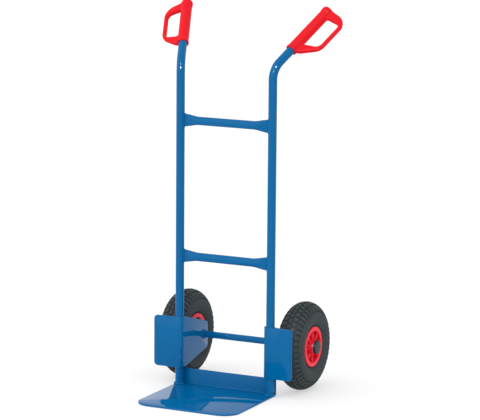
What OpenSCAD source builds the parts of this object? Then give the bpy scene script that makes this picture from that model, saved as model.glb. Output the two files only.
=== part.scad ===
// Sack truck: two bent tube uprights with safety grips, two crossbars, a toe plate,
// a pair of bent wheel brackets that carry a solid axle, and two pneumatic wheels.
// Millimetres. +Z is up, +Y points to the person who pushes, -Y to the load.
// The origin is on the toe plate's underside, midway between the uprights.
// Left and right are as seen from the load side: left is -X, right is +X.

/* [Uprights] */
// Distance between the centrelines of the two uprights
upright_spacing = 295; // [250:1:360]
// Outer diameter of the upright and crossbar tube
tube_d = 25; // [22:0.5:30]
// Wall of the upright tube
tube_wall = 2; // [1.5:0.1:3]
// Height where the handle bend starts
bend_start = 922; // [860:1:1150]
// Centreline radius of the handle bend
bend_r = 62; // [50:1:100]
// Angle of the handles from the vertical
handle_lean = 54; // [35:1:75]
// Angle by which the handles flare outwards, seen from above
handle_flare = 22.7; // [0:0.1:30]
// Bare tube between the bend and the grip
handle_reach = 51; // [30:1:120]

/* [Crossbars] */
// Height of the upper crossbar's centreline
upper_bar_z = 789; // [600:1:850]
// Height of the lower crossbar's centreline
lower_bar_z = 390; // [280:1:550]
// Height of a crossbar's flattened end
bar_end_h = 38; // [30:0.5:38]
// Thickness of a crossbar's flattened end
bar_end_t = 5; // [4:0.5:8]
// Length over which a crossbar changes from round to flat
bar_flare = 48; // [30:1:80]
// Wall of the crossbar tube
bar_wall = 1.5; // [1:0.1:1.8]

/* [Toe plate] */
// How far the toe plate reaches past the outer sides of the uprights
toe_side = 0; // [0:1:40]
// Distance from the uprights' centre plane to the front edge
toe_reach = 268; // [150:1:400]
// Thickness of the toe plate
toe_t = 5; // [3:0.5:8]
// Height of the flange behind the uprights
flange_h = 51; // [35:1:90]
// Inner radius of the bend between plate and flange
toe_bend_r = 3; // [2:0.5:6]
// Radius of the two front corners
toe_corner_r = 50; // [10:1:80]

/* [Wheel brackets] */
// Thickness of the bent sheet
bracket_t = 3; // [2:0.5:5]
// Inner radius of the sheet's bend
bracket_bend_r = 6; // [4:0.5:7]
// Width of the guard in front of the wheel, over the sheet's outer faces
guard_w = 92; // [70:1:110]
// Height of the guard's lower edge below the axle
guard_below = 74; // [60:1:90]
// Height of the guard's upper edge above the axle
guard_above = 78; // [60:1:110]
// Radius of the guard's outer corners
guard_corner_r = 12; // [4:1:20]
// Distance from the axle to the bracket's rear edge
bracket_rear = 21; // [18:1:40]
// Drop of the bracket's upper edge from front to rear
bracket_top_drop = 43; // [20:1:45]
// Rise of the bracket's lower edge from front to rear
bracket_bottom_rise = 32; // [10:1:40]
// Radius of the bracket's rear corners
bracket_corner_r = 10; // [4:1:15]

/* [Axle] */
// Diameter of the axle
axle_d = 20; // [15:0.5:25]
// Distance of the tyres' front behind the uprights' centre plane
tyre_setback = 0; // [-8:1:50]
// Gap between the bracket and the wheel's hub, filled by a spacer and a washer
hub_gap = 19.5; // [12:0.5:40]
// Thickness of the washers on both sides of each hub
washer_t = 2; // [1:0.25:3]
// Width of a washer's ring around the axle
washer_rim = 8; // [6:0.5:10]
// Wall of the spacer sleeve
spacer_wall = 4; // [3:0.5:7]
// Wall of the push-on hub cap around the axle
cap_wall = 10; // [7:0.5:12]
// Height of the push-on hub cap
cap_h = 9; // [6:0.5:12]

/* [Wheels] */
// Outer diameter of the tyre
tyre_d = 260; // [240:1:320]
// Width of the tyre
tyre_w = 82; // [76:1:90]
// Wall of the tyre
tyre_wall = 5; // [3:0.5:7]
// Diameter of the rim where the tyre's beads sit
rim_seat_d = 101.6; // [90:0.2:110]
// Height of the rim's flange above the bead seat
rim_flange_h = 8.6; // [4:0.2:9]
// Width of the rim over both flanges
rim_w = 68; // [58:1:70]
// Wall of the rim's barrel, web and flanges
rim_wall = 4; // [3:0.5:6]
// Length of the hub
hub_len = 75; // [66:1:90]
// Wall of the hub
hub_wall = 6; // [4:0.5:8]
// Number of ribs on each rim half
rib_count = 8; // [8:4:12]
// Thickness of a rib
rib_t = 4; // [2:0.5:5]
// Number of bolts that hold the rim halves together
bolt_count = 4; // [2:2:4]
// Thread diameter of the rim bolts
bolt_d = 6; // [5:1:6]
// Diameter of the valve stem
valve_d = 8; // [6:0.5:9]

/* [Bearings] */
// Diameter of a bearing roller
roller_d = 4; // [3:0.25:5]
// Length of a bearing roller
roller_len = 18; // [12:1:20]
// Number of rollers in a bearing
roller_count = 10; // [8:1:10]

/* [Grips] */
// Length of a grip
grip_len = 181; // [150:1:220]
// Wall of a grip's sleeve around the tube
grip_wall = 3.5; // [3:0.25:6]
// Reach of the hand guard from the grip's axis
guard_reach = 71.5; // [64:0.5:95]
// Thickness of the hand guard
guard_t = 15; // [12:0.5:24]
// Angle of the hand guard around the grip's axis
guard_roll = 26; // [0:1:45]
// Thickness of the guard's outer bar
guard_bar = 9; // [7:0.5:20]

/* [Hidden] */
$fn = 72;

// Clearances
press_gap = 0.05;     // pieces pushed or welded onto one another
running_gap = 0.05;   // radial play of the rollers on the axle and in the hub
side_play = 0.3;      // axial play of a hub between its washers
roller_gap = 0.15;    // play of a roller in its cage pocket
bolt_gap = 0.2;       // radial play of a bolt in its hole
bead_gap = 0.1;       // tyre, inner tube and rim against one another
bend_neck = 0.02;     // how much thinner the bent stretch of an upright is
bend_lap = 0.05;      // how far a straight stretch reaches over the bend's end

// Places
lap = 1;              // how far a cutting shape, or one joined inside a solid, reaches past a face
tube_r = tube_d / 2;
upright_x = upright_spacing / 2;
toe_w = upright_spacing + tube_d + 2 * toe_side;
axle_r = axle_d / 2;
axle_z = tyre_d / 2;
axle_back = tyre_d / 2 + tyre_setback;
washer_d = axle_d + 2 * washer_rim;
spacer_d = axle_d + 2 * spacer_wall;
cap_d = axle_d + 2 * cap_wall;
cap_edge_r = 2.5;
cap_top = 2.5;
cap_end_gap = 0.3;
sheet_y = tube_r + press_gap;
bracket_out_x = upright_x - sheet_y;
bracket_in_x = bracket_out_x - bracket_t;
wheel_x = bracket_out_x + hub_gap + hub_len / 2;
hub_in_x = wheel_x - hub_len / 2;
hub_out_x = wheel_x + hub_len / 2;
cap_x = hub_out_x + side_play + washer_t;
cap_bore_depth = cap_h - cap_top;
axle_end_x = cap_x + cap_bore_depth - cap_end_gap;
bracket_knee = 5;

// Wheel
hub_bore_r = axle_r + roller_d + 2 * running_gap;
hub_r = hub_bore_r + hub_wall;
roller_pitch_r = axle_r + running_gap + roller_d / 2;
roller_inset = 12;
rim_seat_r = rim_seat_d / 2;
barrel_r = rim_seat_r - rim_wall;
flange_r = rim_seat_r + rim_flange_h;
seat_half_w = rim_w / 2 - rim_wall;
rib_inset = 3;
rib_h = rim_w / 2 - rib_inset;
section_r = tyre_w / 2;
section_at = tyre_d / 2 - section_r;
bead_w = 8;
boss_wall = 4;
boss_rise = 4;
boss_r = bolt_d / 2 + boss_wall;
boss_h = rim_wall + boss_rise;
bolt_at = (hub_r + barrel_r) / 2;
nut_h = 5;
bolt_head_h = 4;
bolt_tail = 2;
hex_d = 1.85 * bolt_d;
valve_r = valve_d / 2;
valve_at = -12;
valve_inset = 6;
valve_turn_r = barrel_r - valve_inset;
valve_angle = 180 - 180 / rib_count;
valve_end = -30.5;
valve_hole_gap = 1;
valve_cap_h = 10;
valve_cap_wall = 1.2;
valve_cap_over = 4;
valve_cap_gap = 0.2;

// Bearings
cage_rim = 2;
cage_inset = 0.6;

// Grips
grip_d = tube_d + 2 * grip_wall;
grip_end_t = 8;
tube_in_grip = grip_len - grip_end_t;
lip_rise = 1.5;
end_lip = 18;
end_r = 8;
foot_lip = 6;
guard_root_r = 14;
guard_root_in = 4;
guard_top_gap = 8;
guard_top_r = 36;
guard_side_at = 68;
guard_side_r = 40;
guard_foot_at = 4;
guard_foot_r = 20;
window_gap = 0.5;
window_end_gap = 31;
window_small_r = 4;
window_top_r = 14;
window_bottom_at = 64;
window_bottom_r = 20;
window_start = 40;

// A point list for a rounded corner b between the points a and c
function unit(v) = v / norm(v);
function rounded(a, b, c, r, n = 8) =
    let (u = unit(a - b), w = unit(c - b), half = acos(u * w) / 2)
    let (m = b + unit(u + w) * r / sin(half))
    let (s = unit(b + u * r / tan(half) - m), e = unit(b + w * r / tan(half) - m))
    [for (i = [0:n]) m + r * unit(s * (n - i) / n + e * i / n)];

module on_left() mirror([1, 0, 0]) children();
module blue() color("#1767a8") children();
module red() color("#e02a33") children();
module steel() color("silver") children();

// ---------------------------------------------------------------- uprights
module at_upright() translate([upright_x, 0, 0]) rotate([0, 0, -handle_flare]) children();

// Puts +Z along the handle, with the origin where its straight stretch begins
module at_handle()
    at_upright()
        translate([0, bend_r * (1 - cos(handle_lean)), bend_start + bend_r * sin(handle_lean)])
            rotate([-handle_lean, 0, 0])
                children();

module tube(length) difference() {
    cylinder(r = tube_r, h = length);
    translate([0, 0, -lap]) cylinder(r = tube_r - tube_wall, h = length + 2 * lap);
}

// The foot ends above the bend of the toe plate, where its weld fills the corner.
// The bend is drawn a hair thinner than the straight stretches, which lap over its ends.
module upright() {
    foot_z = toe_t + toe_bend_r;
    blue() {
        at_upright() translate([0, 0, foot_z]) tube(bend_start - foot_z + bend_lap);
        at_upright()
            translate([0, bend_r, bend_start])
                rotate([90, 0, -90])
                    rotate_extrude(angle = handle_lean)
                        translate([bend_r, 0]) difference() {
                            circle(r = tube_r - bend_neck);
                            circle(r = tube_r - tube_wall + bend_neck);
                        }
        at_handle()
            translate([0, 0, -bend_lap])
                tube(handle_reach + tube_in_grip + bend_lap);
    }
}

// --------------------------------------------------------------- crossbars
// Half height and half thickness of the bar at distance d from its end
function ease(t) = t * t * (3 - 2 * t);
function flat(d) = 1 - ease(min(1, max(0, d / bar_flare)));
function bar_half_h(d) = tube_r + (bar_end_h / 2 - tube_r) * flat(d);
function bar_half_t(d) = tube_r + (bar_end_t / 2 - tube_r) * flat(d);

bar_sides = 24;
bar_steps = 6;
bar_end_x = upright_x - tube_r - press_gap;
bar_stations = concat(
    [for (i = [0:bar_steps]) -bar_end_x + bar_flare * i / bar_steps],
    [for (i = [bar_steps:-1:0]) bar_end_x - bar_flare * i / bar_steps]
);
function bar_ring(x, inset) = [
    for (i = [0:bar_sides - 1])
        let (a = 360 * i / bar_sides, d = bar_end_x - abs(x))
        [x, (bar_half_t(d) - inset) * cos(a), (bar_half_h(d) - inset) * sin(a)]
];

module crossbar(z) {
    n = bar_sides;
    last = len(bar_stations) - 1;
    inside = n * (last + 1);
    points = [
        for (inset = [0, bar_wall]) for (x = bar_stations) each bar_ring(x, inset)
    ];
    skin = [
        for (k = [0:last - 1]) for (i = [0:n - 1])
            let (j = (i + 1) % n)
            [k * n + i, k * n + n + i, k * n + n + j, k * n + j]
    ];
    core = [for (f = skin) [for (i = [3:-1:0]) f[i] + inside]];
    caps = [
        for (i = [0:n - 1]) let (j = (i + 1) % n) each [
            [i, j, inside + j, inside + i],
            [last * n + j, last * n + i, inside + last * n + i, inside + last * n + j]
        ]
    ];
    blue() translate([0, 0, z]) polyhedron(points, concat(skin, core, caps), convexity = 4);
}

// --------------------------------------------------------------- toe plate
// Side view of the bent sheet, drawn with Y to the right and Z up
module toe_profile() {
    out_r = toe_bend_r + toe_t;
    bend_y = sheet_y - toe_bend_r;
    translate([-toe_reach, 0]) square([toe_reach + bend_y, toe_t]);
    translate([sheet_y, out_r]) square([toe_t, flange_h - out_r]);
    intersection() {
        translate([bend_y, 0]) square(out_r);
        translate([bend_y, out_r]) difference() {
            circle(r = out_r);
            circle(r = toe_bend_r);
        }
    }
}

module toe_sheet()
    translate([-toe_w / 2, 0, 0])
        rotate([90, 0, 90])
            linear_extrude(toe_w)
                toe_profile();

module toe_outline() {
    r = toe_corner_r;
    back = sheet_y + toe_t + lap;
    translate([-toe_w / 2, -toe_reach + r]) square([toe_w, toe_reach - r + back]);
    translate([-toe_w / 2 + r, -toe_reach]) square([toe_w - 2 * r, r + lap]);
    for (s = [-1, 1]) translate([s * (toe_w / 2 - r), -toe_reach + r]) circle(r = r, $fn = 144);
}

module toe_plate() {
    blue() intersection() {
        toe_sheet();
        linear_extrude(flange_h) toe_outline();
    }
}

// ---------------------------------------------------------- wheel brackets
// Plan of the bent sheet: the guard lies in front of the upright, the side plate beside it
module bracket_profile(height) {
    front = -sheet_y - bracket_t;
    out_r = bracket_bend_r + bracket_t;
    rear = axle_back + bracket_rear;
    linear_extrude(height) {
        translate([bracket_in_x + out_r, front]) square([guard_w - out_r, bracket_t]);
        translate([bracket_in_x, front + out_r]) square([bracket_t, rear - front - out_r]);
        intersection() {
            translate([bracket_in_x, front]) square(out_r);
            translate([bracket_in_x + out_r, front + out_r]) difference() {
                circle(r = out_r);
                circle(r = bracket_bend_r);
            }
        }
    }
}

// Front view of the guard, with X to the right and Z up
module guard_outline(bottom, top) {
    r = guard_corner_r;
    out_x = bracket_in_x + guard_w;
    translate([bracket_in_x - lap, bottom]) square([guard_w + lap - r, top - bottom]);
    translate([out_x - r, bottom + r]) square([r, top - bottom - 2 * r]);
    for (z = [bottom + r, top - r]) translate([out_x - r, z]) circle(r = r);
}

// Side view of the bracket, with Y to the right and Z up
module side_outline(bottom, top) {
    front = -sheet_y - bracket_t - lap;
    rear = axle_back + bracket_rear;
    a = [bracket_knee, bottom];
    b = [rear, bottom + bracket_bottom_rise];
    c = [rear, top - bracket_top_drop];
    d = [bracket_knee, top];
    polygon(concat(
        [[front, bottom], a],
        rounded(a, b, c, bracket_corner_r),
        rounded(b, c, d, bracket_corner_r),
        [d, [front, top]]
    ));
}

module wheel_bracket() {
    bottom = axle_z - guard_below;
    top = axle_z + guard_above;
    span = guard_w + 2 * lap;
    depth = axle_back + bracket_rear + sheet_y + bracket_t + 3 * lap;
    blue() difference() {
        intersection() {
            bracket_profile(top + lap);
            translate([bracket_in_x - lap, 0, 0])
                rotate([90, 0, 90])
                    linear_extrude(span)
                        side_outline(bottom, top);
            translate([0, axle_back + bracket_rear + lap, 0])
                rotate([90, 0, 0])
                    linear_extrude(depth)
                        guard_outline(bottom, top);
        }
        at_axle(bracket_in_x - lap) cylinder(r = axle_r + press_gap, h = bracket_t + 2 * lap);
    }
}

// -------------------------------------------------------------------- axle
// Puts +Z along +X, with the origin on the axle's centreline at x
module at_axle(x) translate([x, axle_back, axle_z]) rotate([0, 90, 0]) children();

module ring(outer_r, inner_r, h) difference() {
    cylinder(r = outer_r, h = h);
    translate([0, 0, -lap]) cylinder(r = inner_r, h = h + 2 * lap);
}

module axle() blue() at_axle(-axle_end_x) cylinder(r = axle_r, h = 2 * axle_end_x);

module spacer() steel()
    at_axle(bracket_out_x)
        ring(spacer_d / 2, axle_r + press_gap, hub_gap - washer_t - side_play);

module washer(x) steel() at_axle(x) ring(washer_d / 2, axle_r + press_gap, washer_t);

module hub_cap() {
    r = cap_d / 2;
    bore_r = axle_r + press_gap;
    color("#4a4f52") at_axle(cap_x) rotate_extrude() difference() {
        union() {
            square([r, cap_h - cap_edge_r]);
            square([r - cap_edge_r, cap_h]);
            translate([r - cap_edge_r, cap_h - cap_edge_r]) circle(r = cap_edge_r);
        }
        translate([0, -lap]) square([bore_r, cap_bore_depth + lap]);
        translate([-r, -lap]) square([r, cap_h + 2 * lap]);
    }
}

// ------------------------------------------------------------------- wheel
// Puts +Z along the axle's outward direction, with the origin in the wheel's middle
module at_wheel() at_axle(wheel_x) children();

module ring_section() rotate_extrude($fn = 144) children();

// Hollow of the tyre in section, with the radius to the right
module tyre_cavity(shrink) {
    start = rim_seat_r + shrink;
    half_w = seat_half_w - bead_w - shrink;
    translate([section_at, 0]) circle(r = section_r - tyre_wall - shrink);
    translate([start, -half_w]) square([section_at - start, 2 * half_w]);
}

module tyre() {
    color("#2b2e30") at_wheel() ring_section() difference() {
        union() {
            translate([section_at, 0]) circle(r = section_r);
            translate([rim_seat_r, -seat_half_w])
                square([section_at - rim_seat_r, 2 * seat_half_w]);
        }
        tyre_cavity(0);
        translate([0, -section_r]) square([rim_seat_r + bead_gap, 2 * section_r]);
    }
}

module inner_tube() {
    wall = 2;
    color("#1c1c1c") at_wheel() ring_section() difference() {
        tyre_cavity(bead_gap);
        tyre_cavity(bead_gap + wall);
    }
}

// One half of the rim, from the wheel's middle plane outwards
module rim_shell() {
    ring_section() {
        translate([hub_bore_r, 0]) square([hub_wall, hub_len / 2]);
        translate([hub_r - lap, 0]) square([barrel_r - hub_r + 2 * lap, rim_wall]);
        translate([barrel_r, 0]) square([rim_wall, rim_w / 2]);
        translate([barrel_r, seat_half_w]) square([flange_r - barrel_r - rim_wall / 2, rim_wall]);
        translate([flange_r - rim_wall / 2, seat_half_w + rim_wall / 2]) circle(r = rim_wall / 2);
    }
    for (i = [0:rib_count - 1])
        rotate([0, 0, 360 * i / rib_count])
            translate([hub_r - lap, -rib_t / 2, lap])
                cube([barrel_r - hub_r + 2 * lap, rib_t, rib_h - lap]);
}

// Places for the bolts, each in the middle of a pocket between two ribs
module at_bolts()
    for (i = [0:bolt_count - 1])
        rotate([0, 0, 180 / rib_count + 360 * i / bolt_count])
            translate([bolt_at, 0, 0])
                children();

module rim_half() difference() {
    union() {
        rim_shell();
        at_bolts() cylinder(r = boss_r, h = boss_h);
    }
    at_bolts() translate([0, 0, -lap]) cylinder(r = bolt_d / 2 + bolt_gap, h = boss_h + 2 * lap);
}

module rim_outer_half() red() at_wheel() rim_half();

module rim_inner_half() red() at_wheel() difference() {
    mirror([0, 0, 1]) rim_half();
    rotate([0, 0, valve_angle])
        translate([valve_turn_r + valve_r, 0, valve_at])
            rotate([0, 90, 0])
                cylinder(r = valve_r + valve_hole_gap, h = rim_seat_r - valve_turn_r);
}

module rim_bolts() steel() at_wheel() at_bolts() {
    translate([0, 0, boss_h]) cylinder(d = hex_d, h = bolt_head_h, $fn = 6);
    translate([0, 0, -boss_h - nut_h - bolt_tail])
        cylinder(d = bolt_d, h = 2 * boss_h + nut_h + bolt_tail);
}

module rim_nuts() steel() at_wheel() at_bolts()
    translate([0, 0, -boss_h - nut_h]) difference() {
        cylinder(d = hex_d, h = nut_h, $fn = 6);
        translate([0, 0, -lap]) cylinder(d = bolt_d + 2 * press_gap, h = nut_h + 2 * lap);
    }

// Puts the origin in the middle of the outer (1) or inner (-1) bearing
module at_bearing(outward)
    at_wheel()
        translate([0, 0, outward * (hub_len / 2 - roller_inset)])
            children();

module rollers(outward, play)
    at_bearing(outward)
        for (i = [0:roller_count - 1])
            rotate([0, 0, 360 * i / roller_count])
                translate([roller_pitch_r, 0, -roller_len / 2 - play])
                    cylinder(r = roller_d / 2 + play, h = roller_len + 2 * play);

module roller_set(outward) steel() rollers(outward, 0);

module cage(outward) {
    half_len = roller_len / 2 + cage_rim;
    half_t = roller_d / 2 - cage_inset;
    color("#d9c9a0") difference() {
        at_bearing(outward)
            translate([0, 0, -half_len])
                ring(roller_pitch_r + half_t, roller_pitch_r - half_t, 2 * half_len);
        rollers(outward, roller_gap);
    }
}

// Bent valve: it leaves the inner tube through the rim's barrel and points inboard
module valve() {
    base_r = sqrt(pow(rim_seat_r + bead_gap, 2) - valve_r * valve_r);
    color("#c8a25a") at_wheel() rotate([0, 0, valve_angle]) {
        translate([valve_turn_r, 0, valve_at]) rotate([0, 90, 0])
            cylinder(r = valve_r, h = base_r - valve_turn_r);
        translate([valve_turn_r, 0, valve_at]) sphere(r = valve_r);
        translate([valve_turn_r, 0, valve_end]) cylinder(r = valve_r, h = valve_at - valve_end);
    }
}

module valve_cap() {
    color("#222222") at_wheel() rotate([0, 0, valve_angle])
        translate([valve_turn_r, 0, valve_end + valve_cap_over - valve_cap_h]) difference() {
            cylinder(r = valve_r + valve_cap_wall, h = valve_cap_h);
            translate([0, 0, valve_cap_h - valve_cap_over - valve_cap_gap])
                cylinder(r = valve_r + press_gap, h = valve_cap_over + lap);
        }
}

// ------------------------------------------------------------------- grips
// Outline of the hand guard, with its reach to the right and the grip's length up
module guard_shape() {
    top_at = grip_len - guard_top_gap - guard_top_r;
    hull($fn = 48) {
        translate([guard_root_in, grip_len - guard_root_r]) circle(r = guard_root_r);
        translate([guard_reach - guard_top_r, top_at]) circle(r = guard_top_r);
        translate([guard_reach - guard_side_r, guard_side_at]) circle(r = guard_side_r);
        translate([grip_d / 2, guard_foot_at + guard_foot_r]) circle(r = guard_foot_r);
    }
}

// The opening for the fingers
module finger_window() {
    inner = grip_d / 2 + window_gap;
    outer = guard_reach - guard_bar;
    end = grip_len - window_end_gap;
    hull($fn = 32) {
        translate([inner + window_small_r, end - window_small_r]) circle(r = window_small_r);
        translate([outer - window_top_r, end - window_top_r]) circle(r = window_top_r);
        translate([outer - window_bottom_r, window_bottom_at]) circle(r = window_bottom_r);
        translate([inner + window_small_r, window_start]) circle(r = window_small_r);
    }
}

// Sleeve with a lip at each end, in section with the radius to the right
module sleeve_section() {
    lip_r = grip_d / 2 + lip_rise;
    square([grip_d / 2, grip_len - end_r]);
    square([lip_r, foot_lip]);
    translate([0, grip_len - end_lip]) square([lip_r, end_lip - end_r]);
    square([lip_r - end_r, grip_len]);
    translate([lip_r - end_r, grip_len - end_r]) circle(r = end_r);
}

module grip() {
    red() at_handle() translate([0, 0, handle_reach]) difference() {
        union() {
            rotate_extrude() sleeve_section();
            rotate([0, 0, guard_roll]) translate([0, guard_t / 2, 0]) rotate([90, 0, 0])
                linear_extrude(guard_t)
                    difference() {
                        guard_shape();
                        finger_window();
                    }
        }
        translate([0, 0, -foot_lip]) cylinder(r = tube_r + press_gap, h = tube_in_grip + foot_lip);
    }
}

on_left() upright();  // left_upright
upright();  // right_upright
crossbar(upper_bar_z);  // upper_crossbar
crossbar(lower_bar_z);  // lower_crossbar
on_left() wheel_bracket();  // left_wheel_bracket
wheel_bracket();  // right_wheel_bracket
toe_plate();
axle();
on_left() grip();  // left_grip
grip();  // right_grip
on_left() spacer();  // left_spacer
spacer();  // right_spacer
on_left() washer(hub_in_x - side_play - washer_t);  // left_inner_washer
washer(hub_in_x - side_play - washer_t);  // right_inner_washer
on_left() washer(hub_out_x + side_play);  // left_outer_washer
washer(hub_out_x + side_play);  // right_outer_washer
on_left() hub_cap();  // left_hub_cap
hub_cap();  // right_hub_cap
on_left() tyre();  // left_tyre
on_left() inner_tube();  // left_inner_tube
on_left() rim_outer_half();  // left_rim_outer_half
on_left() rim_inner_half();  // left_rim_inner_half
on_left() rim_bolts();  // left_rim_bolts
on_left() rim_nuts();  // left_rim_nuts
on_left() cage(1);  // left_outer_cage
on_left() roller_set(1);  // left_outer_rollers
on_left() cage(-1);  // left_inner_cage
on_left() roller_set(-1);  // left_inner_rollers
on_left() valve();  // left_valve
on_left() valve_cap();  // left_valve_cap
tyre();  // right_tyre
inner_tube();  // right_inner_tube
rim_outer_half();  // right_rim_outer_half
rim_inner_half();  // right_rim_inner_half
rim_bolts();  // right_rim_bolts
rim_nuts();  // right_rim_nuts
cage(1);  // right_outer_cage
roller_set(1);  // right_outer_rollers
cage(-1);  // right_inner_cage
roller_set(-1);  // right_inner_rollers
valve();  // right_valve
valve_cap();  // right_valve_cap
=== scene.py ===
import math

import bmesh
import bpy
from bpy.props import FloatProperty, FloatVectorProperty, IntProperty, PointerProperty
from mathutils import Matrix, Vector


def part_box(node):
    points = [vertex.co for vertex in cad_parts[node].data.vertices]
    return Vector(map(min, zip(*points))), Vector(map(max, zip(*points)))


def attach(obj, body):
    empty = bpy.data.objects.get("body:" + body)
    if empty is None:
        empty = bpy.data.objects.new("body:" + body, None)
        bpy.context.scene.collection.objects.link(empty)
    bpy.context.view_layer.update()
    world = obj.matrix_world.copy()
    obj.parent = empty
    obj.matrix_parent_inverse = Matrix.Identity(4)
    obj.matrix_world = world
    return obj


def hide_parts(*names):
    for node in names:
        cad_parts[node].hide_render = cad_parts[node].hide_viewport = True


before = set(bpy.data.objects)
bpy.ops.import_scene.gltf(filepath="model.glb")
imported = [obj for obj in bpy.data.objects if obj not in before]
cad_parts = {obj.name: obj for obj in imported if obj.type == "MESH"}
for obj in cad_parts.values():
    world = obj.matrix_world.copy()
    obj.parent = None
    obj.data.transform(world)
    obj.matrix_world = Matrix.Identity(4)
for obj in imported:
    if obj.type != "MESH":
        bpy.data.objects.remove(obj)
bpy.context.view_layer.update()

bl_info = {
    "name": "Sack Truck Workshop",
    "version": (1, 0, 0),
    "blender": (4, 5, 0),
    "location": "3D View > Sidebar > Sack Truck",
    "description": "Builds the pieces, finishes and studio of a tubular sack truck",
    "category": "Object",
}

# Places taken from the frame
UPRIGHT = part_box("right_upright")
TUBE_R = -UPRIGHT[0].y
UPRIGHT_X = UPRIGHT[0].x + TUBE_R
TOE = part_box("toe_plate")
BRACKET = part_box("right_wheel_bracket")
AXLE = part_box("axle")
AXLE_Y = (AXLE[0].y + AXLE[1].y) / 2
AXLE_Z = (AXLE[0].z + AXLE[1].z) / 2
AXLE_R = (AXLE[1].z - AXLE[0].z) / 2
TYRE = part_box("right_tyre")
TYRE_R = (TYRE[1].z - TYRE[0].z) / 2
SECTION_R = (TYRE[1].x - TYRE[0].x) / 2
WHEEL_X = (TYRE[0].x + TYRE[1].x) / 2
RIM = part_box("right_rim_outer_half")
FLANGE_R = (RIM[1].z - RIM[0].z) / 2
HUB_END = RIM[1].x - WHEEL_X
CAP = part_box("right_hub_cap")
CAP_R = (CAP[1].z - CAP[0].z) / 2
SIDES = {"left": -1, "right": 1}

# Points nearer than this are one point
SNAP = 1e-6
# Radial play of a push fit
PRESS_GAP = 0.00005


# ------------------------------------------------------------------ sizes
def metres(name, description, default):
    """A size in metres."""
    return FloatProperty(name=name, description=description, default=default, unit="LENGTH")


def degrees(name, description, default):
    """An angle, given in degrees and kept in radians."""
    return FloatProperty(name=name, description=description, default=math.radians(default),
                         subtype="ANGLE")


def paint(name, description, default):
    """A colour."""
    return FloatVectorProperty(name=name, description=description, default=default,
                               subtype="COLOR", size=3, min=0, max=1)


class TubeSizes(bpy.types.PropertyGroup):
    bend_start: metres("Bend start", "Height where the handle bend starts", 0.922)
    bend_radius: metres("Bend radius", "Centreline radius of the handle bend", 0.062)
    lean: degrees("Lean", "Angle of the handles from the vertical", 54)
    flare: degrees("Flare", "Angle by which the handles turn outwards", 22.7)
    reach: metres("Reach", "Bare tube between the bend and the grip", 0.051)
    bar_flare: metres(
        "Crossbar flare", "Length over which a crossbar turns from round to flat", 0.048)
    bar_end_height: metres("Crossbar end height", "Height of a crossbar's flattened end", 0.038)
    bar_end_thickness: metres(
        "Crossbar end thickness", "Thickness of a crossbar's flattened end", 0.005)
    sides: IntProperty(
        name="Sides", description="Faces around a tube", default=48, min=12)


class SheetSizes(bpy.types.PropertyGroup):
    toe_thickness: metres("Toe plate thickness", "Thickness of the toe plate", 0.005)
    toe_bend: metres("Toe plate bend", "Inner radius of the bend up to the flange", 0.003)
    toe_corner: metres("Toe plate corners", "Radius of the toe plate's front corners", 0.050)
    bracket_thickness: metres("Bracket thickness", "Thickness of the wheel brackets", 0.003)
    bracket_bend: metres("Bracket bend", "Inner radius of the bracket's bend", 0.006)
    guard_corner: metres("Guard corners", "Radius of the guard's outer corners", 0.012)
    rear_corner: metres("Rear corners", "Radius of the bracket's rear corners", 0.010)
    knee: metres("Knee", "Where the bracket's upper and lower edges start to slope", 0.005)
    top_drop: metres("Top drop", "Drop of the bracket's upper edge from front to rear", 0.043)
    bottom_rise: metres(
        "Bottom rise", "Rise of the bracket's lower edge from front to rear", 0.032)
    edge_round: metres("Edge rounding", "Rounding that the coat gives to a cut edge", 0.0008)


class WeldSizes(bpy.types.PropertyGroup):
    bead: metres("Bead", "Radius of a weld bead", 0.0029)
    step: metres("Ripple", "Distance between two ripples of a bead", 0.0021)
    stitch: metres("Stitch", "Length of a stitch weld", 0.024)
    beside: metres("Beside", "Distance of a seam from the upright's middle", 0.0085)


class GripSizes(bpy.types.PropertyGroup):
    length: metres("Length", "Length of a grip", 0.181)
    radius: metres("Radius", "Radius of a grip's sleeve", 0.016)
    lip: metres("Lip", "Rise of the lips at both ends", 0.0015)
    end_wall: metres("End wall", "Thickness of the closed end", 0.008)
    end_round: metres("End rounding", "Rounding of the closed end", 0.008)
    end_lip: metres("End lip", "Length of the lip at the closed end", 0.018)
    foot_lip: metres("Foot lip", "Length of the lip at the open end", 0.006)
    roll: degrees("Roll", "Angle of the hand guard around the sleeve", 26)
    thickness: metres("Guard thickness", "Thickness of the hand guard", 0.015)
    reach: metres("Guard reach", "Reach of the hand guard from the sleeve's axis", 0.0715)
    bar: metres("Guard bar", "Width of the bar in front of the fingers", 0.010)
    rounding: metres("Guard rounding", "Radius of the guard's edges", 0.0038)
    grain: metres("Grain", "Size of the faces of the moulded skin", 0.0011)


class WheelSizes(bpy.types.PropertyGroup):
    pitches: IntProperty(
        name="Tread pitches", description="Times the tread pattern repeats around the tyre",
        default=44, min=12)
    tread_depth: metres("Tread depth", "Height of the tread blocks", 0.004)
    tyre_wall: metres("Tyre wall", "Wall of the tyre", 0.005)
    rim_half_width: metres("Rim half width", "Width of one rim half", 0.034)
    rim_wall: metres("Rim wall", "Wall of the rim", 0.004)
    seat_radius: metres("Bead seat", "Radius where the tyre's beads sit", 0.0508)
    hub_bore: metres("Hub bore", "Radius of the hub's bore", 0.0141)
    hub_wall: metres("Hub wall", "Wall of the hub", 0.006)
    ribs: IntProperty(name="Ribs", description="Ribs on a rim half", default=8, min=4)
    rib_inset: metres("Rib inset", "How far a rib stays behind the rim's face", 0.0024)
    rib_thickness: metres("Rib thickness", "Thickness of a rib", 0.0046)
    bosses: IntProperty(name="Bosses", description="Bolt bosses on a rim half", default=4, min=2)
    boss_radius: metres("Boss radius", "Radius of a bolt boss", 0.007)
    bolt_bore: metres("Bolt bore", "Radius of a boss's bore", 0.0032)
    boss_height: metres("Boss height", "Height of a bolt boss above the middle plane", 0.008)


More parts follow.
